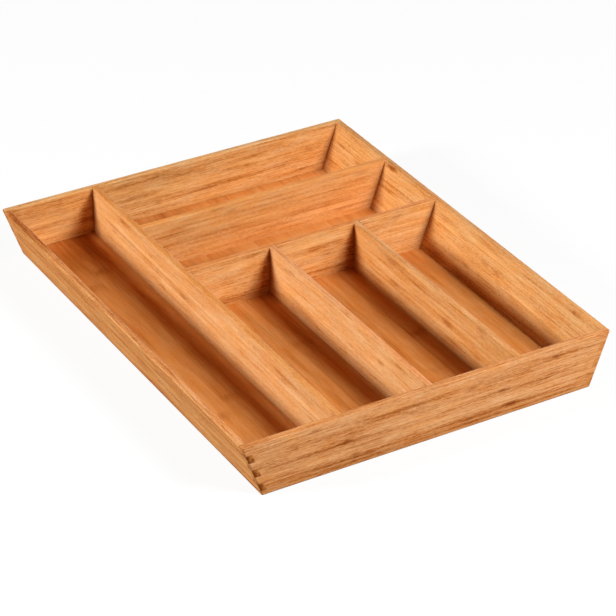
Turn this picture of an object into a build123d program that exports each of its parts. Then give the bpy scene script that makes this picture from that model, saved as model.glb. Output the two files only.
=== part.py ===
from build123d import *
import math
import os

# Cutlery tray of laminated bamboo boards: two upright end walls, two side walls that lean
# outwards, a floor panel held in grooves, and five fixed dividers.
# +X runs to the right along the front wall, +Y to the back, +Z up. The origin is in the
# middle of the tray, on the plane that it stands on. All sizes are in millimetres.

# Overall sizes
tray_width = 360.0       # outside, across the top edges of the side walls
tray_depth = 450.0       # outside, front to back
tray_height = 52.0
side_lean = 18.5         # how far a side wall's foot stands in from its top edge

# Boards
wall_thickness = 6.0     # measured square to the board
divider_thickness = 6.0
panel_thickness = 3.5
panel_rise = 1.5         # the panel's underside above the plane that the walls stand on

# Compartments, measured at the top
long_cell_width = 83.3   # from the left wall to the long divider
rear_cell_depth = 83.5   # from the back wall to the rear cross divider
middle_cell_depth = 82.0  # between the two cross dividers
front_cell_count = 3

# Corner finger joints
finger_height = 7.6
first_finger_rise = 5.0  # underside of the side wall's lowest finger
least_top_finger = 4.0   # least height of the end wall's top finger

# Grooves and housings
groove_depth = 2.5       # how far the panel enters each wall
groove_clearance = 0.2   # between the panel's edge and the bottom of its groove
groove_play = 0.3        # between the panel's top and the upper side of its groove
housing_depth = 2.0      # how far a divider enters the board that holds it
glue_line = 0.05         # between a divider and the faces of its housing

# Rounded edges
corner_radius = 1.5      # the four outer corners
rim_radius = 1.0         # outer and inner edges of the rim
foot_radius = 1.4        # outer edges of the foot
divider_radius = 1.0     # both top edges of a divider

overrun = 10.0           # how far a cutting shape runs past what it cuts

# Sizes worked out from the ones above
half_width = tray_width / 2
half_depth = tray_depth / 2
lean_angle = math.atan2(side_lean, tray_height)
side_run = wall_thickness / math.cos(lean_angle)
inner_depth = half_depth - wall_thickness
floor_top = panel_rise + panel_thickness
divider_height = tray_height - floor_top


def outer_x(height):
    """Half width of the tray outside, at a height."""
    return half_width - side_lean * (1 - height / tray_height)


def inner_x(height):
    """Half width of the tray inside, at a height."""
    return outer_x(height) - side_run


panel_half_width = inner_x(floor_top) + groove_depth
panel_half_depth = inner_depth + groove_depth

# A divider's rounded edges stop where those of the board that holds it end. From there on the
# corners of its end are full, so that they close the housing.
full_end = housing_depth - rim_radius
full_end_low = tray_height - divider_radius

# Faces of the dividers
long_left = -inner_x(tray_height) + long_cell_width
long_right = long_left + divider_thickness
rear_front = inner_depth - rear_cell_depth - divider_thickness
middle_front = rear_front - middle_cell_depth - divider_thickness
front_space = inner_x(tray_height) - long_right
front_cell_width = (front_space - (front_cell_count - 1) * divider_thickness) / front_cell_count
front_divider_lefts = [
    long_right + (index + 1) * front_cell_width + index * divider_thickness
    for index in range(front_cell_count - 1)
]
lengthwise_lefts = [long_left] + front_divider_lefts
cross_fronts = [rear_front, middle_front]

# Height bands of the corner joints: the side walls' fingers, and the end walls' between them
finger_room = tray_height - least_top_finger - first_finger_rise - finger_height
finger_count = int(finger_room // (2 * finger_height)) + 1
side_fingers = [
    (first_finger_rise + 2 * index * finger_height, first_finger_rise + (2 * index + 1) * finger_height)
    for index in range(finger_count)
]
end_fingers = list(zip(
    [-overrun] + [high for low, high in side_fingers],
    [low for low, high in side_fingers] + [tray_height + overrun],
))

os.makedirs("parts", exist_ok=True)


def finish(part, name):
    """Name a finished board and write it."""
    part.label = name
    export_step(part, f"parts/{name}.step")


# The four walls as one ring, rounded as a glued frame is sanded, before it is parted into boards
with BuildPart() as wall_ring:
    with BuildSketch(Plane.XZ):
        with BuildLine():
            Polyline(
                (-outer_x(0), 0),
                (outer_x(0), 0),
                (outer_x(tray_height), tray_height),
                (-outer_x(tray_height), tray_height),
                close=True,
            )
        make_face()
    extrude(amount=half_depth, both=True)
    end_faces = wall_ring.faces().filter_by(Axis.Y)
    fillet(end_faces.edges().filter_by(Axis.X, reverse=True), corner_radius)
    fillet(wall_ring.faces().sort_by(Axis.Z)[-1].edges(), rim_radius)
    fillet(wall_ring.faces().sort_by(Axis.Z)[0].edges(), foot_radius)
    with BuildSketch(Plane.XZ):
        with BuildLine():
            Polyline(
                (-inner_x(-overrun), -overrun),
                (inner_x(-overrun), -overrun),
                (inner_x(tray_height + overrun), tray_height + overrun),
                (-inner_x(tray_height + overrun), tray_height + overrun),
                close=True,
            )
        make_face()
    extrude(amount=inner_depth, both=True, mode=Mode.SUBTRACT)
    fillet(wall_ring.faces().sort_by(Axis.Z)[-1].inner_wires()[0].edges(), rim_radius)


def side_zone(side, bands):
    """All that lies outside a side wall's inner face within some height bands, side being 1 or -1."""
    with BuildPart() as zone:
        for low, high in bands:
            with BuildSketch(Plane.XZ):
                with BuildLine():
                    Polyline(
                        (side * inner_x(low), low),
                        (side * (half_width + overrun), low),
                        (side * (half_width + overrun), high),
                        (side * inner_x(high), high),
                        close=True,
                    )
                make_face()
            extrude(amount=half_depth + overrun, both=True)
    return zone.part


def cut_panel_groove():
    """Cut the floor panel's groove into the wall being built."""
    with Locations((0, 0, panel_rise)):
        Box(
            2 * (panel_half_width + groove_clearance),
            2 * (panel_half_depth + groove_clearance),
            panel_thickness + groove_play,
            align=(Align.CENTER, Align.CENTER, Align.MIN),
            mode=Mode.SUBTRACT,
        )


def cut_lengthwise_housings(lefts, face_y):
    """Cut housings for the ends of lengthwise dividers on both sides of the face at face_y."""
    for left in lefts:
        with Locations((left + divider_thickness / 2, face_y, floor_top)):
            Box(
                divider_thickness + 2 * glue_line,
                2 * (housing_depth + glue_line),
                divider_height + overrun,
                align=(Align.CENTER, Align.CENTER, Align.MIN),
                mode=Mode.SUBTRACT,
            )


def end_wall(side, name):
    """Front (side -1) or back (side 1) wall."""
    with BuildPart() as wall:
        add(wall_ring.part)
        with Locations((0, side * (half_depth - wall_thickness / 2), tray_height / 2)):
            Box(tray_width + overrun, wall_thickness, tray_height + overrun, mode=Mode.INTERSECT)
        add(side_zone(-1, side_fingers), mode=Mode.SUBTRACT)
        add(side_zone(1, side_fingers), mode=Mode.SUBTRACT)
        cut_panel_groove()
        cut_lengthwise_housings(lengthwise_lefts if side < 0 else [long_left], side * inner_depth)
    finish(wall.part, name)
    return wall


def cross_outline(low_left, end_gap, low_z, top_z, top_left):
    """Corners of a cross divider or a part of it, its right end cut to the lean of the right wall."""
    return [
        (low_left, low_z),
        (inner_x(low_z) + housing_depth + end_gap, low_z),
        (inner_x(top_z) + housing_depth + end_gap, top_z),
        (top_left, top_z),
    ]


def side_wall(side, name):
    """Left (side -1) or right (side 1) wall. Only the right one holds the cross dividers."""
    end_cut = wall_thickness + overrun
    with BuildPart() as wall:
        add(wall_ring.part)
        add(side_zone(side, [(-overrun, tray_height + overrun)]), mode=Mode.INTERSECT)
        for low, high in end_fingers:
            for end in (-1, 1):
                with Locations((0, end * (inner_depth + end_cut / 2), (low + high) / 2)):
                    Box(tray_width + overrun, end_cut, high - low, mode=Mode.SUBTRACT)
        cut_panel_groove()
        if side > 0:
            for front in cross_fronts:
                with BuildSketch(Plane.XZ.offset(-(front - glue_line))):
                    with BuildLine():
                        Polyline(
                            *cross_outline(0, glue_line, floor_top, tray_height + overrun, 0),
                            close=True,
                        )
                    make_face()
                extrude(amount=-(divider_thickness + 2 * glue_line), mode=Mode.SUBTRACT)
    finish(wall.part, name)
    return wall


front_wall = end_wall(-1, "front_wall")
back_wall = end_wall(1, "back_wall")
left_wall = side_wall(-1, "left_wall")
right_wall = side_wall(1, "right_wall")

with BuildPart() as bottom_panel:
    with Locations((0, 0, panel_rise)):
        Box(
            2 * panel_half_width,
            2 * panel_half_depth,
            panel_thickness,
            align=(Align.CENTER, Align.CENTER, Align.MIN),
        )
finish(bottom_panel.part, "bottom_panel")


def lengthwise_box(left, front_y, back_y, low):
    """A box as thick as a divider along Y, from the height low to the top."""
    with Locations((left, front_y, low)):
        Box(
            divider_thickness,
            back_y - front_y,
            tray_height - low,
            align=(Align.MIN, Align.MIN, Align.MIN),
        )


def lengthwise_full_ends(left, front_y, back_y):
    """The full corners at both ends of a rounded lengthwise divider."""
    lengthwise_box(left, front_y, front_y + full_end, full_end_low)
    lengthwise_box(left, back_y - full_end, back_y, full_end_low)


# The divider over the whole depth, housed in the end walls, with housings for the cross dividers
long_divider_reach = inner_depth + housing_depth
with BuildPart() as long_divider:
    lengthwise_box(long_left, -long_divider_reach, long_divider_reach, floor_top)
    fillet(long_divider.edges().filter_by(Axis.Y).group_by(Axis.Z)[-1], divider_radius)
    lengthwise_full_ends(long_left, -long_divider_reach, long_divider_reach)
    for front in cross_fronts:
        with Locations((long_right, front + divider_thickness / 2, floor_top)):
            Box(
                2 * (housing_depth + glue_line),
                divider_thickness + 2 * glue_line,
                divider_height + overrun,
                align=(Align.CENTER, Align.CENTER, Align.MIN),
                mode=Mode.SUBTRACT,
            )
finish(long_divider.part, "long_divider")


def cross_divider(front, name, front_housings):
    """A divider from the long divider to the right wall."""
    left_end = long_right - housing_depth
    right_full_low = inner_x(full_end_low) + rim_radius
    right_full_top = inner_x(tray_height) + rim_radius
    with BuildPart() as divider:
        with BuildSketch(Plane.XZ.offset(-front)):
            with BuildLine():
                Polyline(*cross_outline(left_end, 0, floor_top, tray_height, left_end), close=True)
            make_face()
        extrude(amount=-divider_thickness)
        fillet(divider.edges().filter_by(Axis.X).group_by(Axis.Z)[-1], divider_radius)
        with BuildSketch(Plane.XZ.offset(-front)):
            with BuildLine():
                Polyline(
                    *cross_outline(right_full_low, 0, full_end_low, tray_height, right_full_top),
                    close=True,
                )
            make_face()
        extrude(amount=-divider_thickness)
        with Locations((left_end, front, full_end_low)):
            Box(
                full_end,
                divider_thickness,
                divider_radius,
                align=(Align.MIN, Align.MIN, Align.MIN),
            )
        cut_lengthwise_housings(front_housings, front)
    finish(divider.part, name)
    return divider


rear_cross_divider = cross_divider(rear_front, "rear_cross_divider", [])
middle_cross_divider = cross_divider(middle_front, "middle_cross_divider", front_divider_lefts)

# The short dividers, from the front wall to the middle cross divider, numbered from the left
front_divider_reach = middle_front + housing_depth
for index, left in enumerate(front_divider_lefts):
    with BuildPart() as front_divider:
        lengthwise_box(left, -long_divider_reach, front_divider_reach, floor_top)
        fillet(front_divider.edges().filter_by(Axis.Y).group_by(Axis.Z)[-1], divider_radius)
        lengthwise_full_ends(left, -long_divider_reach, front_divider_reach)
    finish(front_divider.part, f"front_divider_{index + 1}")
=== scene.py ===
import bpy
import math
import random
from mathutils import Matrix, Vector

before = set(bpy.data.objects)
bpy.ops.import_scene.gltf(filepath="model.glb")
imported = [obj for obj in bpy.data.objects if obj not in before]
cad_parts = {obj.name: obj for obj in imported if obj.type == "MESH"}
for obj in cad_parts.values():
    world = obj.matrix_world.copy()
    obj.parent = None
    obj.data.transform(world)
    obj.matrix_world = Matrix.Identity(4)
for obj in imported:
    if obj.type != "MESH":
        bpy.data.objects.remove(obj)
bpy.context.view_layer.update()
mm = 0.001
print("frame loaded:", len(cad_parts), "boards")


# Helpers for colours and shader maths

def paint(red, green, blue):
    # a colour as a picture editor gives it, 0 to 255, turned into Blender's linear colour
    shares = [value / 255 for value in (red, green, blue)]
    linear = [s / 12.92 if s <= 0.04045 else ((s + 0.055) / 1.055) ** 2.4 for s in shares]
    return (*linear, 1.0)


class Wire:
    # one socket of a node tree, so that maths on it reads as Python
    def __init__(self, tree, socket=None):
        self.tree = tree
        self.socket = socket

    def node(self, kind, settings=None, inputs=None, output=0):
        made = self.tree.nodes.new(kind)
        for name, value in (settings or {}).items():
            if name == "stops":
                fillRamp(made.color_ramp, value)
            elif name == "interpolation":
                made.color_ramp.interpolation = value
            else:
                setattr(made, name, value)
        for key, value in (inputs or {}).items():
            if isinstance(value, Wire):
                self.tree.links.new(value.socket, made.inputs[key])
            else:
                made.inputs[key].default_value = value
        return Wire(self.tree, made.outputs[output]) if made.outputs else made

    def maths(self, operation, first, second=0.0, third=0.0, clamp=False):
        inputs = {0: first, 1: second, 2: third}
        return self.node("ShaderNodeMath", {"operation": operation, "use_clamp": clamp}, inputs)

    def __add__(self, other):
        return self.maths("ADD", self, other)

    __radd__ = __add__

    def __sub__(self, other):
        return self.maths("SUBTRACT", self, other)

    def __rsub__(self, other):
        return self.maths("SUBTRACT", other, self)

    def __mul__(self, other):
        return self.maths("MULTIPLY", self, other)

    __rmul__ = __mul__

    def __truediv__(self, other):
        return self.maths("DIVIDE", self, other)

    def __neg__(self):
        return self.maths("MULTIPLY", self, -1.0)

    def __abs__(self):
        return self.maths("ABSOLUTE", self)

    def floor(self):
        return self.maths("FLOOR", self)

    def step(self, low, high):
        # 0 below low, 1 above high, smooth between
        inputs = {"Value": self, "From Min": low, "From Max": high}
        return self.node("ShaderNodeMapRange", {"interpolation_type": "SMOOTHSTEP"}, inputs)

    def hump(self, width):
        # 1 where the value is 0, fading to 0 at a width on both sides
        return 1 - abs(self).step(0.0, width)

    def clamp(self):
        return self.maths("ADD", self, 0.0, clamp=True)


def fillRamp(ramp, stops):
    while len(ramp.elements) > 1:
        ramp.elements.remove(ramp.elements[0])
    for index, (place, colour) in enumerate(stops):
        element = ramp.elements[0] if index == 0 else ramp.elements.new(place)
        element.position = place
        element.color = colour


# Camera: fitted to the rims and corners of the tray in the photograph

cameraSpot = {
    "place": (-1.066935, -1.833023, 1.303272),
    "rightward": (0.862785, -0.505555, 0.003981),
    "upward": (0.260287, 0.450932, 0.853763),
    "forward": (0.433419, 0.735578, -0.520647),
    "lens": 162.98,
    "sensor": 36.0,
}


def makeCamera(spot):
    data = bpy.data.cameras.new("photoCamera")
    data.lens = spot["lens"]
    data.sensor_width = spot["sensor"]
    camera = bpy.data.objects.new("photoCamera", data)
    bpy.context.collection.objects.link(camera)
    backward = -Vector(spot["forward"])
    turn = Matrix((Vector(spot["rightward"]), Vector(spot["upward"]), backward)).transposed()
    camera.matrix_world = Matrix.Translation(Vector(spot["place"])) @ turn.to_4x4()
    bpy.context.scene.camera = camera


makeCamera(cameraSpot)
print("camera set")


# Bamboo: strips glued side by side into boards, the grain along the board

bamboo = {
    "tones": [
        (0.00, paint(127, 66, 24)),
        (0.25, paint(190, 120, 61)),
        (0.50, paint(224, 163, 104)),
        (0.75, paint(240, 186, 128)),
        (1.00, paint(250, 207, 153)),
    ],
    "knotStain": paint(176, 128, 72),
    # the next colour darkens the foot of each board: a painted shade
    "footStain": paint(228, 214, 178),
    # the next colour darkens the inner corners: a painted shade
    "creviceStain": paint(150, 96, 44),
    "seamBrown": paint(96, 52, 20),
    "endBrown": paint(136, 68, 18),
    "endPale": paint(216, 140, 74),
    "amber": paint(255, 240, 214),
    "creviceReach": 8 * mm,
    "stripWidth": 5.25 * mm,
    "knotSpacing": 240 * mm,
    "poreSpacing": 0.7 * mm,
    "restingTone": 0.50,
    "roughness": 0.66,
    "specular": 0.04,
    "coat": 0.02,
    "coatRoughness": 0.25,
    "reliefStrength": 0.35,
    "reliefDepth": 0.12 * mm,
    "warmthBack": 0.8,
    "warmthRest": 0.5,
    "stripShift": 0.31,
}

# the noise behind each feature: its length along the grain and its width
grainSizes = {
    "cloud": (70 * mm, 7 * mm),
    "lines": (55 * mm, 1.7 * mm),
    "fibre": (24 * mm, 0.9 * mm),
    "bundle": (20 * mm, 0.9 * mm),
    "fleck": (3.6 * mm, 0.8 * mm),
    "warmth": (28 * mm, 9 * mm),
    "ragged": (7 * mm, 1.8 * mm),
    "wander": (30 * mm, 4 * mm),
    "endPatch": (3.2 * mm, 3.2 * mm),
}

# how much each feature changes a board's tone, which runs from 0, dark, to 1, pale
toneShares = {
    "cloud": 0.42,
    "lines": 0.63,
    "fibre": 0.66,
    "fleck": 0.28,
    "bundle": 0.20,
    "stripEdge": 0.22,
    "halo": 0.16,
    "band": 1.3,
    "arris": 0.03,
    "warmth": 3.0,
}

# how much each feature raises the relief, and how much it roughens the wood
reliefShares = {"fibre": 0.6, "lines": 0.5, "bundle": -0.3, "stripEdge": -0.8, "knot": -0.8, "seam": -1.5}
roughShares = {"fibre": 0.2, "knot": 0.1, "end": 0.18}

# how brown the ends of the fingers are at rest, and what each feature adds to that
endShares = {"rest": 0.80, "patch": 2.6, "pores": 0.25, "up": -0.5, "outward": 1.1, "outwardFrom": 0.60}

# the knots of the cane: how far along a strip they reach, and how far noise moves their outlines
knotShape = {
    "halo": 11 * mm,
    "haloWobble": 12 * mm,
    "dash": 7 * mm,
    "dashWobble": 14 * mm,
    "dashShare": 0.30,
    "dashShareWobble": 0.9,
    "dashHeight": 0.34,
    "markWobble": 12 * mm,
    "markWander": 2.2 * mm,
    "markRagged": 1.6 * mm,
    "pushesFibres": 0.8 * mm,
}

# the heights between which the painted shade at the foot and in the corners, and the painted light and
# shade on the top edge, fade
stainHeights = {
    "foot": (4.0 * mm, 13.0 * mm),
    "crevice": (8.0 * mm, 20.0 * mm),
    "rim": (50.5 * mm, 51.3 * mm),
}

walls = {
    "sideLean": 18.5 * mm,
    "height": 52 * mm,
    "innerY": 219 * mm,
    "innerFootX": 155.13 * mm,
    "sideThick": 6.37 * mm,
    "firstFinger": 5.0 * mm,
    "fingerHeight": 7.6 * mm,
    "lastFinger": 43.0 * mm,
    "seamWidth": 0.35 * mm,
    "seamShare": 0.55,
}


def blend(start, factor, under, over, kind="MIX"):
    # a second colour laid over the first, by as much as the factor says
    settings = {"data_type": "RGBA", "blend_type": kind}
    return start.node("ShaderNodeMix", settings, {"Factor": factor, 6: under, 7: over}, 2)


def drawnStrips(seed, count):
    # tone, darkness of the lower edge, a knot's place in mm, strength of its mark
    draw = random.Random(seed)
    strips = []
    for index in range(count):
        tone = draw.uniform(-0.05, 0.05)
        edge = draw.choice((0.1, 0.2, 0.3, 0.6))
        place = draw.uniform(-120, 120)
        strips.append((tone, edge, place, draw.choice((0.0, 0.1, 0.2, 0.4))))
    return strips


def boardPlace(start, along, lean):
    # along the grain, across the strips, through the board; and the plain coordinates
    place = start.node("ShaderNodeTexCoord", output="Object")
    x, y, z = [start.node("ShaderNodeSeparateXYZ", inputs={0: place}, output=axis) for axis in "XYZ"]
    slope = lean * walls["sideLean"] / walls["height"]
    if along == "x":
        return (x, z, y), (x, y, z)
    if along == "panel":
        return (y, x, z), (x, y, z)
    return (y, z, x - z * slope), (x, y, z)


def streaks(start, coordinates, kind, seed, detail=2.0, roughness=0.55):
    # noise about zero, drawn out along the grain
    along, across, through = coordinates
    length, width = grainSizes[kind]
    parts = {
        "X": along / length + seed,
        "Y": across / width + 7.3 * seed,
        "Z": through / width + 3.1 * seed,
    }
    vector = start.node("ShaderNodeCombineXYZ", inputs=parts)
    inputs = {"Vector": vector, "Scale": 1.0, "Detail": detail, "Roughness": roughness}
    return start.node("ShaderNodeTexNoise", {"noise_dimensions": "3D"}, inputs) - 0.5


def markSum(start, spot, marks):
    # soft ellipses, each (along, across, half length, half height, strength), all lengths in mm
    total = start.node("ShaderNodeValue")
    for along, across, length, height, strength in marks:
        centre = (along * mm, across * mm, 0.0)
        halves = (length * mm, height * mm, 1.0)
        offset = start.node("ShaderNodeVectorMath", {"operation": "SUBTRACT"}, {0: spot, 1: centre})
        scaled = start.node("ShaderNodeVectorMath", {"operation": "DIVIDE"}, {0: offset, 1: halves})
        reach = start.node("ShaderNodeVectorMath", {"operation": "LENGTH"}, {0: scaled}, "Value")
        total = total + (1 - reach.step(0.0, 1.3)) * strength
    return total


def stripLook(start, board, across):
    # which strip a point lies in, and what was drawn for that strip
    strips = drawnStrips(board["seed"], board["count"])
    width = board.get("stripWidth", bamboo["stripWidth"])
    counted = (across - board["firstEdge"]) / width
    index = counted.floor()
    share = counted - index
    lookup = (index + 0.5) / len(strips)
    toneStops = []
    knotStops = []
    for number, (tone, edge, place, strength) in enumerate(strips):
        at = number / len(strips)
        phase = (place * mm / bamboo["knotSpacing"]) % 1.0
        shift = (number * 0.37 + board["seed"] * 0.1) % 1.0
        toneStops.append((at, (tone + 0.5, edge, strength, 1.0)))
        knotStops.append((at, (phase, shift, 0.0, 1.0)))
    constant = {"interpolation": "CONSTANT"}
    tones = start.node("ShaderNodeValToRGB", {**constant, "stops": toneStops}, {"Fac": lookup})
    knots = start.node("ShaderNodeValToRGB", {**constant, "stops": knotStops}, {"Fac": lookup})
    edges = (share * width).hump(0.8 * mm) + ((1 - share) * width).hump(0.4 * mm)
    return {
        "share": share,
        "tone": start.node("ShaderNodeSeparateColor", inputs={0: tones}, output="Red") - 0.5,
        "edge": edges * start.node("ShaderNodeSeparateColor", inputs={0: tones}, output="Green"),
        "knotStrength": start.node("ShaderNodeSeparateColor", inputs={0: tones}, output="Blue"),
        "knotPhase": start.node("ShaderNodeSeparateColor", inputs={0: knots}, output="Red"),
        "shift": start.node("ShaderNodeSeparateColor", inputs={0: knots}, output="Green"),
    }


def faceTurns(start):
    # how far a face looks along each axis, the mask of rounded edges, and the mask of the leaning outer
    # face, which gets a painted shade
    facing = start.node("ShaderNodeTexCoord", output="Normal")
    right, back, up = [
        start.node("ShaderNodeSeparateXYZ", inputs={0: facing}, output=axis) for axis in "XYZ"
    ]
    nx, ny, nz = abs(right), abs(back), abs(up)
    flatness = start.maths("MAXIMUM", start.maths("MAXIMUM", nx, ny), nz)
    arris = 1 - flatness.step(0.78, 0.92)
    outer = (-right).step(0.5, 0.8) * (-up).step(0.0, 0.3)
    return nx, ny, nz, arris, outer


def pastInner(x, z):
    # how far a point lies outside the inner face of the leaning side walls
    return abs(x) - (walls["innerFootX"] + z * (walls["sideLean"] / walls["height"]))


def fingerSeams(start, board, x, y, z):
    # thin lines where the fingers of two walls meet at a corner
    rise = (z - walls["firstFinger"]) / walls["fingerHeight"]
    nearest = abs(rise - (rise + 0.5).floor()) * walls["fingerHeight"]
    inRows = z.step(walls["firstFinger"] - 0.5 * mm, walls["firstFinger"] - 0.4 * mm)
    inRows = inRows * (1 - z.step(walls["lastFinger"] + 0.4 * mm, walls["lastFinger"] + 0.5 * mm))
    past = pastInner(x, z) if board["along"] == "x" else abs(y) - walls["innerY"]
    return nearest.hump(walls["seamWidth"]) * inRows * past.step(0.0, 0.2 * mm)


def endGrain(start, board, place, x, z):
    # the colour of a finger's end, browner towards its lower and outer edges, and its pores
    along, across, through = place
    patch = streaks(start, (through, across, along), "endPatch", board["seed"] + 9.0, 3.0, 0.6)
    spot = start.node("ShaderNodeCombineXYZ", inputs={"X": across, "Y": through, "Z": 0.0})
    dots = start.node(
        "ShaderNodeTexVoronoi",
        {"voronoi_dimensions": "2D"},
        {"Vector": spot, "Scale": 1 / bamboo["poreSpacing"]},
    )
    pores = 1 - dots.step(0.15, 0.5)
    rise = (z - walls["firstFinger"]) / walls["fingerHeight"]
    upFinger = rise - rise.floor()
    brown = (
        endShares["rest"]
        + board.get("endDark", 0.0)
        + patch * endShares["patch"]
        + pores * endShares["pores"]
        + upFinger * endShares["up"]
    )
    if board["along"] == "y":
        outward = pastInner(x, z) / walls["sideThick"] - endShares["outwardFrom"]
        brown = brown + outward * endShares["outward"]
    return blend(start, brown.clamp(), bamboo["endPale"], bamboo["endBrown"]), pores


def stained(start, board, tint, z, nz):
    # painted shade: darker at the foot and in the inner corners; and the top edge tinted to how it is lit,
    # painted light and shade
    # darker towards the foot: a painted shade
    foot = 1 - z.step(*stainHeights["foot"])
    tint = blend(start, foot * board.get("foot", 0.25), tint, bamboo["footStain"], "MULTIPLY")
    # ambient occlusion darkens the inner corners: a painted shade
    reach = {"Distance": bamboo["creviceReach"]}
    openness = start.node("ShaderNodeAmbientOcclusion", {"samples": 8}, reach, "AO")
    aboveFoot = 0.3 + 0.7 * z.step(*stainHeights["crevice"])
    crevice = ((1 - openness) * aboveFoot * board.get("crevice", 1.4)).clamp()
    tint = blend(start, crevice, tint, bamboo["creviceStain"], "MULTIPLY")
    # the top edge tinted darker or paler to how it is lit: painted light and shade
    rim = nz.step(0.45, 0.85) * z.step(*stainHeights["rim"])
    return blend(start, rim, tint, board.get("top", board["tint"]), "MULTIPLY"), rim


def bambooBoard(name, board):
    material = bpy.data.materials.new(name)
    material.use_nodes = True
    tree = material.node_tree
    tree.nodes.clear()
    start = Wire(tree)
    place, (x, y, z) = boardPlace(start, board["along"], board.get("lean", 0))
    along, across, through = place
    seed = board["seed"]
    grain = board.get("grain", 1.0)
    broad = board.get("broad", 1.0)
    strip = stripLook(start, board, across)

    # knots of the cane: how far along from the nearest one in this strip
    turns = along / bamboo["knotSpacing"] - strip["knotPhase"] + 0.5
    toKnot = (turns - turns.floor() - 0.5) * bamboo["knotSpacing"]
    ragged = streaks(start, place, "ragged", seed + 5.0)
    wander = streaks(start, place, "wander", seed + 6.0)
    halo = (toKnot + ragged * knotShape["haloWobble"]).hump(knotShape["halo"]) * strip["knotStrength"]
    dash = (toKnot + ragged * knotShape["dashWobble"]).hump(knotShape["dash"])
    aboveDash = strip["share"] - knotShape["dashShare"] + ragged * knotShape["dashShareWobble"]
    dash = dash * aboveDash.hump(knotShape["dashHeight"]) * strip["knotStrength"]
    bent = {
        "X": along + ragged * knotShape["markWobble"],
        "Y": across + wander * knotShape["markWander"] + ragged * knotShape["markRagged"],
    }
    spot = start.node("ShaderNodeCombineXYZ", inputs=bent)
    knotMark = dash * board.get("knotty", 0.4) + markSum(start, spot, board.get("knots", ()))
    # long darker streaks and paler ones; some are painted shade at the feet and beside the dividers, and a
    # few paler ones painted light
    bands = markSum(start, spot, board.get("bands", ()))

    # fibres, drawn aside a little at the knots, each strip with its own
    aside = (halo + knotMark) * knotShape["pushesFibres"]
    fibrePlace = (along, across + aside + strip["shift"] * bamboo["stripShift"], through)
    cloud = streaks(start, fibrePlace, "cloud", seed + 1.0)
    lines = streaks(start, fibrePlace, "lines", seed + 2.0)
    fibre = streaks(start, fibrePlace, "fibre", seed + 3.0, 3.0, 0.65)
    bundle = streaks(start, fibrePlace, "bundle", seed + 4.0, 1.0).step(0.12, 0.26)
    fleck = streaks(start, place, "fleck", seed + 7.0, 1.0)
    warmth = streaks(start, place, "warmth", seed + 8.0)
    nx, ny, nz, arris, outer = faceTurns(start)
    tone = (
        bamboo["restingTone"]
        + board.get("tone", 0.0)
        + strip["tone"] * broad
        - bands * toneShares["band"]
        + cloud * (toneShares["cloud"] * broad)
        + lines * (toneShares["lines"] * grain)
        + fibre * (toneShares["fibre"] * grain)
        + fleck * board.get("fleck", toneShares["fleck"] * (1 + grain))
        - bundle * (toneShares["bundle"] * grain)
        - strip["edge"] * toneShares["stripEdge"]
        - halo * toneShares["halo"]
        # rounded edges a little paler: wear, and a painted highlight
        + arris * toneShares["arris"]
    )

    # the tone as a colour, warmer in patches and towards the back; then the board's tint with a painted
    # shade on its leaning outer face; then painted shade at the foot and in the inner corners, painted
    # light and shade on the top edge, and the knots' own stain
    tint = start.node("ShaderNodeValToRGB", {"stops": bamboo["tones"]}, {"Fac": tone})
    warm = (warmth * toneShares["warmth"] + y * bamboo["warmthBack"] + bamboo["warmthRest"]).clamp()
    tint = blend(start, warm, tint, bamboo["amber"], "MULTIPLY")
    # the board's tint, and on the leaning outer face a darker tint to how it is lit: a painted shade
    own = blend(start, outer, board["tint"], board.get("outer", board["tint"]))
    tint = blend(start, 1.0, tint, own, "MULTIPLY")
    tint, rim = stained(start, board, tint, z, nz)
    knotShare = (knotMark * (1.5 + fibre * 3.0) * (1 - rim)).clamp()
    tint = blend(start, knotShare, tint, bamboo["knotStain"], "MULTIPLY")

    # end grain, where a face looks along the grain
    endMask = (nx if board["along"] == "x" else ny).step(0.55, 0.85)
    endTint, pores = endGrain(start, board, place, x, z)
    colour = blend(start, endMask, tint, endTint)
    relief = (
        fibre * reliefShares["fibre"]
        + lines * reliefShares["lines"]
        + bundle * reliefShares["bundle"]
        + strip["edge"] * reliefShares["stripEdge"]
        + knotMark * reliefShares["knot"]
        - endMask * pores
    )
    if board.get("jointed"):
        seam = fingerSeams(start, board, x, y, z)
        colour = blend(start, seam * walls["seamShare"], colour, bamboo["seamBrown"])
        relief = relief + seam * reliefShares["seam"]

    roughness = bamboo["roughness"] + fibre * roughShares["fibre"] + knotMark * roughShares["knot"]
    roughness = (roughness + endMask * roughShares["end"]).clamp()
    bump = start.node(
        "ShaderNodeBump",
        inputs={"Strength": bamboo["reliefStrength"], "Distance": bamboo["reliefDepth"], "Height": relief},
    )
    shader = start.node(
        "ShaderNodeBsdfPrincipled",
        inputs={
            "Base Color": colour,
            "Roughness": roughness,
            "Normal": bump,
            "Specular IOR Level": bamboo["specular"],
            "Coat Weight": bamboo["coat"],
            "Coat Roughness": bamboo["coatRoughness"],
        },
    )
    start.node("ShaderNodeOutputMaterial", inputs={"Surface": shader})
    return material


# The boards. "along" is the axis that the grain follows, "lean" the side that a wall leans to and
# "firstEdge" where its first strip starts. "tint" colours the board; the top tint and the outer tint
# colour its top edge and its leaning outer face darker or paler to how they are lit, which is painted
# light and shade. "tone" makes a board paler; "grain", "broad", "fleck" and "knotty" set how strong its
# fibres, broad streaks, flecks and strip knots are; the crevice and foot values set how much painted
# shade its inner corners and its foot get; "endDark" how dark its finger ends are.
# The streak lists hold long darker streaks (paler where negative); most are the wood's own, some are
# painted shade at the feet of boards and beside the dividers, and a few paler ones are painted light.
# Knots are brown spots of the cane's joints. Each entry has its place along the board and above the
# foot, its half sizes in mm and its strength.

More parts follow.
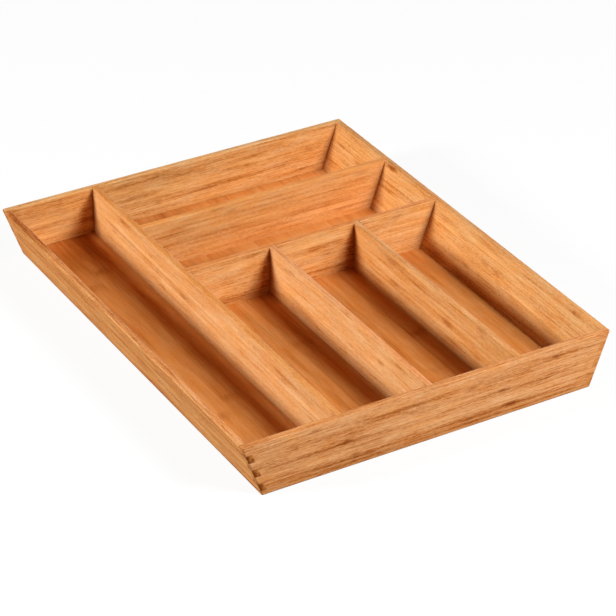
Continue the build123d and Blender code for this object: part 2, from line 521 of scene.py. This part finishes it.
boards = {
    "front_wall": {
        "along": "x", "jointed": True, "seed": 11, "count": 11, "firstEdge": -1.5 * mm,
        "tint": (1.00, 0.92, 0.94, 1.0), "top": (0.71, 0.65, 0.56, 1.0),
        "grain": 1.12, "knotty": 1.0, "crevice": 0.6, "foot": 0.4, "endDark": -0.30,
        "bands": [
            (-101, 24.6, 64, 3.2, 0.20), (96, 25.0, 72, 3.0, 0.18), (66, 9.4, 76, 2.7, 0.20),
            (-79, 8.8, 68, 2.7, 0.18), (-3, 40.0, 76, 2.4, 0.16), (-38, 40.6, 40, 1.4, 0.10),
            (120, 41.4, 24, 2.6, 0.14), (-120, 35.6, 52, 1.6, 0.11), (8, 30.2, 28, 1.2, 0.08),
            (-80, 18.6, 34, 1.6, 0.09), (0, 4.4, 170, 1.6, 0.10), (57, 16.5, 110, 4.2, -0.13),
            (-100, 15.4, 60, 3.8, -0.13), (8, 47.6, 60, 2.8, -0.10), (-90, 50.3, 36, 1.6, -0.14),
            (74, 50.2, 26, 1.6, -0.10), (10, 28.2, 60, 1.6, -0.09),
        ],
        "knots": [
            (-82, 26, 8, 2.4, 0.55), (72, 26.4, 8, 2.2, 0.55), (79, 10.8, 9, 2.2, 0.60),
            (-75, 10.8, 6, 2.0, 0.40), (125, 43.2, 7, 2.2, 0.45), (38, 38, 7, 2.8, 0.28),
            (-131, 37, 8, 3.2, 0.26), (-112, 46.4, 8, 1.8, 0.36), (-52, 16, 5, 1.8, 0.18),
            (-25, 20, 6, 1.6, 0.14),
        ],
    },
    "back_wall": {
        "along": "x", "jointed": True, "seed": 12, "count": 11, "firstEdge": -3.0 * mm,
        "tint": (0.94, 1.00, 1.00, 1.0), "top": (0.90, 0.93, 1.05, 1.0),
        "grain": 1.0, "broad": 1.5, "crevice": 0.7,
        "bands": [
            (60, 32.6, 30, 2.4, 0.18), (-42, 29.6, 24, 5.0, 0.12), (-47, 43.9, 20, 2.4, 0.14),
            (-44, 38, 20, 1.6, 0.11), (58, 44, 14, 1.4, 0.09), (-148, 39.6, 26, 1.5, 0.11),
            (-146, 31, 26, 1.4, 0.08), (-165, 20, 8, 10, 0.11), (-152, 22, 4, 12, -0.08),
            (9, 28.6, 52, 9, -0.10), (-140, 27.6, 20, 2.6, -0.12), (-140, 15.4, 14, 4.4, -0.10),
            # on the next line, the streak at -100 along is a painted shadow beside the long divider and
            # the paler one at 169 a painted light beside the right wall
            (18, 50.4, 40, 1.2, -0.12), (169, 34, 7, 20, -0.10), (-100, 24, 6, 28, 0.13),
        ],
        "knots": [
            (-126, 42, 8, 5.0, 0.16), (-60, 45, 8, 3.0, 0.12), (-22, 18, 5, 3.6, 0.23),
            (75, 32.4, 6, 1.8, 0.27), (-50, 30, 6, 1.8, 0.13), (-122, 32, 6, 1.6, 0.17),
            (112, 36, 8, 1.6, 0.08),
        ],
    },
    "left_wall": {
        "along": "y", "lean": -1, "jointed": True, "seed": 13, "count": 11, "firstEdge": -2.2 * mm,
        "tint": (0.94, 0.94, 0.94, 1.0), "top": (0.85, 0.74, 0.70, 1.0),
        "outer": (0.86, 0.76, 0.59, 1.0),
        "tone": -0.02, "grain": 1.15, "broad": 1.9, "knotty": 0.7, "foot": 0.1, "endDark": 0.28,
        "bands": [
            (197, 44, 20, 4.2, 0.13), (-29, 20.4, 16, 4.6, 0.12), (0, 5.2, 215, 4.4, 0.04),
            (-92, 21.2, 12, 2.6, 0.10), (120, 48.8, 80, 2.0, -0.13), (-91, 48.7, 60, 2.0, -0.12),
            (-72, 29.7, 30, 4.6, -0.11), (17, 32.5, 20, 4, -0.10), (172, 52.4, 52, 2.2, 0.16),
        ],
        "knots": [
            (-69, 35.8, 6, 3.2, 0.34), (202, 33, 9, 3.6, 0.38), (-23, 48, 8, 2.4, 0.26),
            (-42, 42, 5, 2.2, 0.17), (-9, 41, 5, 2.0, 0.19), (165, 44.5, 6, 2.0, 0.17),
            (-165, 12, 4, 2.2, 0.19),
        ],
    },
    "right_wall": {
        "along": "y", "lean": 1, "jointed": True, "seed": 14, "count": 11, "firstEdge": -0.8 * mm,
        "tint": (0.91, 0.95, 0.92, 1.0), "top": (0.85, 0.80, 0.80, 1.0),
        "tone": 0.03, "grain": 0.80, "broad": 0.7, "crevice": 0.95, "foot": 0.1, "endDark": -0.60,
        "bands": [
            (-38, 48.6, 26, 2.2, 0.13), (-124, 47.8, 28, 1.4, 0.11), (-184, 48.4, 12, 2.0, 0.12),
            (-153, 30, 24, 1.6, 0.11), (-80, 34.4, 44, 1.2, 0.10), (110, 30.4, 18, 1.8, 0.15),
            (186, 24, 12, 1.2, 0.11), (202, 36, 10, 1.6, 0.09), (-120, 26.4, 30, 2.2, -0.10),
            (8, 38, 26, 1.4, -0.10), (-101, 36, 22, 1.4, -0.09), (-26, 44, 10, 1.8, -0.11),
            # the next two lines are painted shade: beside the back wall and the cross dividers, and at the
            # foot in the front cells
            (204, 30, 30, 26, 0.06), (118, 38, 20, 26, 0.045), (28, 38, 14, 24, 0.045),
            (-52, 7.5, 95, 5, 0.22), (22, 11, 20, 7.5, 0.19),
        ],
        "knots": [
            (-51, 32.6, 8, 2.8, 0.20), (-27, 21, 9, 2.4, 0.18), (116.5, 49.6, 10, 2.4, 0.75),
            (20, 41, 6, 1.4, 0.12), (-77, 26, 5, 2.4, 0.13), (-181, 36.7, 4, 1.8, 0.13),
            (73, 33.7, 5, 2.2, 0.12), (163, 24, 5, 3.0, 0.13),
        ],
    },
    "long_divider": {
        "along": "y", "seed": 15, "count": 11, "firstEdge": -1.0 * mm,
        "tint": (0.83, 0.87, 0.92, 1.0), "top": (0.98, 0.79, 0.57, 1.0),
        "tone": 0.07, "grain": 0.56, "foot": 0.0,
        "bands": [
            (44, 27.6, 30, 3.2, 0.13), (125, 30.6, 90, 1.4, 0.08), (155, 46, 22, 4.0, 0.12),
            (-140, 41.8, 42, 2.0, 0.12), (-182, 26.7, 12, 2.4, 0.09), (-98, 26.5, 14, 2.6, 0.08),
            (65, 14.5, 36, 3.6, 0.09), (156, 36.2, 60, 4.6, -0.11), (-23, 34.8, 40, 4.2, -0.10),
            (-167, 34, 28, 4.2, -0.10), (140, 22, 52, 2.4, -0.04), (54, 21.8, 34, 2.4, -0.09),
            # the next streak is a painted shade low on the face
            (105, 20.5, 50, 4.4, 0.09),
        ],
        "knots": [
            (158, 45.8, 7, 2.6, 0.29), (42, 27, 9, 2.2, 0.30), (80, 17.2, 6, 2.0, 0.22),
            (-64, 44, 7, 4.0, 0.11), (91, 27.8, 6, 3.0, 0.09), (-182, 41.8, 8, 1.8, 0.12),
        ],
    },
    "rear_cross_divider": {
        "along": "x", "seed": 16, "count": 11, "firstEdge": -0.8 * mm,
        "tint": (0.98, 1.00, 1.00, 1.0), "top": (0.92, 0.76, 0.60, 1.0),
        "tone": 0.02, "grain": 0.40, "broad": 1.5, "crevice": 0.35,
        "bands": [
            (58, 15.2, 44, 2.0, 0.16), (-28, 16.0, 30, 2.4, 0.15), (-49, 34.4, 30, 2.6, 0.13),
            (-13, 26, 32, 1.6, 0.10), (-6, 48.6, 14, 1.8, 0.14), (-34, 47.1, 14, 1.2, 0.11),
            (119, 35.3, 12, 1.4, 0.10), (-51, 40.5, 12, 1.6, 0.10), (-18, 44.2, 18, 2.2, -0.11),
            (140, 49.8, 26, 1.8, -0.12), (30, 27, 40, 4, -0.05), (32, 34, 32, 2.4, -0.07),
            (25, 38, 24, 2.0, -0.06), (28, 46, 26, 2.0, 0.05), (48, 31.6, 14, 2.4, -0.05),
        ],
        "knots": [
            (7, 44.4, 7, 3.0, 0.19), (147, 45.4, 9, 2.8, 0.19), (8, 28, 5, 1.8, 0.10),
            (38, 27, 5, 1.8, 0.09), (72, 20, 6, 1.8, 0.18), (45, 12, 5, 1.8, 0.17),
            (80, 32.7, 5, 2.0, 0.09), (162, 33.5, 6, 3.0, 0.10),
        ],
    },
    "middle_cross_divider": {
        "along": "x", "seed": 17, "count": 11, "firstEdge": -2.4 * mm,
        "tint": (0.93, 0.98, 1.00, 1.0), "top": (0.86, 0.63, 0.50, 1.0),
        "tone": 0.06, "grain": 0.78, "broad": 1.3, "crevice": 0.85,
        "bands": [
            (62, 38.6, 28, 1.6, 0.15), (62, 30.5, 20, 5.0, 0.08), (36, 36.4, 50, 2.8, 0.06),
            (-18, 48.8, 14, 2.0, 0.13), (-30, 36.8, 24, 1.4, 0.10), (108, 38.4, 7, 3.0, 0.09),
            (0, 12.5, 150, 6.0, 0.12), (102, 48.7, 9, 1.2, 0.08), (37, 43.6, 44, 4.0, -0.15),
            # on the next three lines, the streaks at 72, -9 and 82 along are painted shade beside the
            # front dividers, and the paler one at 169 a painted light beside the right wall
            (-34, 42.4, 14, 3.4, -0.12), (145, 35, 20, 2.2, -0.09), (72, 36, 9, 11, 0.07),
            (-37, 37, 10, 8, -0.06), (169, 36, 7, 18, -0.08), (-9, 24, 5, 30, 0.16),
            (82, 24, 6, 30, 0.19), (58, 20, 11, 13, 0.08),
        ],
        "knots": [
            (56, 31.6, 8, 1.4, 0.22), (56, 28.2, 7, 1.2, 0.20), (131, 44.2, 7, 3.4, 0.14),
            (119, 47, 5, 1.6, 0.11),
        ],
    },
    "front_divider_1": {
        "along": "y", "seed": 18, "count": 11, "firstEdge": -1.8 * mm,
        "tint": (0.87, 0.91, 0.96, 1.0), "top": (0.95, 0.78, 0.75, 1.0),
        "tone": 0.07, "grain": 0.64, "foot": 0.1,
        "bands": [
            (-62, 13.5, 115, 5.0, 0.10), (-177, 45.6, 18, 2.8, 0.14), (-100, 32.5, 60, 1.3, 0.07),
            (-9, 24.7, 40, 3.0, -0.10), (-69, 25, 22, 3.0, -0.10), (-156, 40, 24, 2.6, -0.09),
            # on the next line, the last streak is a painted light at the foot
            (-139, 27.3, 18, 1.8, -0.10), (-86, 40.4, 40, 1.4, -0.07), (-90, 12, 60, 3.6, -0.05),
        ],
        "knots": [
            (-176, 46, 6, 2.4, 0.21), (-147.5, 34, 7, 2.6, 0.31), (4.5, 45.4, 8, 2.4, 0.29),
            (-12, 18, 7, 2.0, 0.17), (-115, 30, 5, 1.4, 0.13),
        ],
    },
    "front_divider_2": {
        "along": "y", "seed": 19, "count": 11, "firstEdge": -0.4 * mm,
        "tint": (0.85, 0.86, 0.81, 1.0), "top": (0.98, 0.96, 1.04, 1.0),
        "tone": 0.0, "grain": 0.50, "foot": 0.1,
        "bands": [
            (-23, 44.9, 28, 3.4, 0.12), (-127, 16.4, 26, 3.0, 0.13), (-29, 23.5, 18, 3.2, 0.11),
            (-116, 30, 14, 4.2, 0.10), (-63, 42.2, 16, 1.8, 0.10), (-165, 19.2, 10, 1.8, 0.09),
            (-120, 36.5, 50, 1.4, 0.08), (-29, 30.4, 60, 4.2, -0.11), (-16, 18, 46, 2.0, -0.12),
            # on the next line, the last streak is a painted light at the foot
            (-63, 50.1, 44, 1.4, -0.12), (-175, 27.4, 12, 2.2, -0.10), (-50, 13.5, 60, 5.5, -0.11),
        ],
        "knots": [
            (-115, 28.6, 8, 3.0, 0.23), (-70, 41, 9, 2.6, 0.12), (-30, 25, 8, 3.0, 0.20),
            (-21, 44.4, 8, 2.4, 0.21), (-62, 34.8, 8, 1.4, 0.09),
        ],
    },
    "bottom_panel": {
        "along": "panel", "seed": 20, "count": 17, "firstEdge": -165 * mm, "stripWidth": 19.5 * mm,
        "tint": (1.00, 0.90, 0.73, 1.0),
        "tone": -0.10, "grain": 0.24, "fleck": 0.14, "crevice": 0.4, "foot": 0.0,
        "bands": [
            # the two paler streaks first are painted light on the rear cells' floor; the darker ones are
            # painted shade beside the long divider, the front dividers and the left cell's rear
            (178, 60, 60, 170, -0.14), (98, 60, 44, 170, -0.11), (185, -120, 60, 34, 0.13),
            (0, -104, 230, 12, 0.10), (200, -109, 46, 17, 0.11), (-90, -13, 130, 11, 0.08),
            (-90, 72, 130, 11, 0.08),
        ],
    },
}

for node, board in boards.items():
    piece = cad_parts[node]
    piece.data.materials.clear()
    piece.data.materials.append(bambooBoard(node + "Bamboo", board))
print("bamboo on", len(boards), "boards")


# Studio: a floor and a sky that look white but give little light back, soft lamps on two sides and a
# weak low one behind, which fills the shade on the back and right walls

studio = {
    "floorSeen": (0.9, 0.9, 0.9, 1.0),
    "floorBounce": (0.15, 0.15, 0.15, 1.0),
    "floorSize": 12.0,
    "floorDrop": 0.1 * mm,
    "whiteShare": 0.90,
    "sky": 0.0,
}

# each lamp's height and its turn from the front in degrees

lamps = {
    "left": {"height": 26, "turn": 258, "distance": 2.6, "size": 0.50, "watts": 76.0},
    "right": {"height": 39, "turn": 25.2, "distance": 1.9, "size": 0.58, "watts": 39.5},
    "behind": {"height": 4, "turn": 140, "distance": 2.4, "size": 0.30, "watts": 34.0},
}


def seenShare(start):
    # 1 for rays from the camera and for mirrored and transmitted ones, 0 for the rest
    camera = start.node("ShaderNodeLightPath", output="Is Camera Ray")
    glossy = start.node("ShaderNodeLightPath", output="Is Glossy Ray")
    through = start.node("ShaderNodeLightPath", output="Is Transmission Ray")
    return (camera + glossy + through).clamp()


def makeFloor(settings):
    half = settings["floorSize"] / 2
    mesh = bpy.data.meshes.new("studioFloor")
    low = -settings["floorDrop"]
    corners = [(-half, -half, low), (half, -half, low), (half, half, low), (-half, half, low)]
    mesh.from_pydata(corners, [], [(0, 1, 2, 3)])
    floor = bpy.data.objects.new("studioFloor", mesh)
    bpy.context.collection.objects.link(floor)
    material = bpy.data.materials.new("studioWhite")
    material.use_nodes = True
    tree = material.node_tree
    tree.nodes.clear()
    start = Wire(tree)
    seen = seenShare(start)
    shown = blend(start, seen, settings["floorBounce"], settings["floorSeen"])
    matt = start.node("ShaderNodeBsdfDiffuse", inputs={"Color": shown})
    white = start.node("ShaderNodeEmission", inputs={"Strength": 1.0})
    mixed = start.node("ShaderNodeMixShader", inputs={0: seen * settings["whiteShare"], 1: matt, 2: white})
    start.node("ShaderNodeOutputMaterial", inputs={"Surface": mixed})
    mesh.materials.append(material)


def makeSky(settings):
    world = bpy.data.worlds.new("studioSky")
    world.use_nodes = True
    tree = world.node_tree
    tree.nodes.clear()
    start = Wire(tree)
    strength = seenShare(start) * (1 - settings["sky"]) + settings["sky"]
    glow = start.node("ShaderNodeBackground", inputs={"Strength": strength})
    start.node("ShaderNodeOutputWorld", inputs={"Surface": glow})
    bpy.context.scene.world = world


def makeLamp(name, settings):
    data = bpy.data.lights.new(name, "AREA")
    data.shape = "SQUARE"
    data.size = settings["size"]
    data.energy = settings["watts"]
    lamp = bpy.data.objects.new(name, data)
    bpy.context.collection.objects.link(lamp)
    height = math.radians(settings["height"])
    turn = math.radians(settings["turn"])
    level = math.cos(height)
    towards = Vector((level * math.sin(turn), -level * math.cos(turn), math.sin(height)))
    lamp.location = towards * settings["distance"]
    lamp.rotation_mode = "QUATERNION"
    lamp.rotation_quaternion = towards.to_track_quat("Z", "Y")


makeFloor(studio)
makeSky(studio)
for name, settings in lamps.items():
    makeLamp(name, settings)
bpy.context.scene.view_settings.view_transform = "Standard"
print("studio lit by", len(lamps), "lamps")
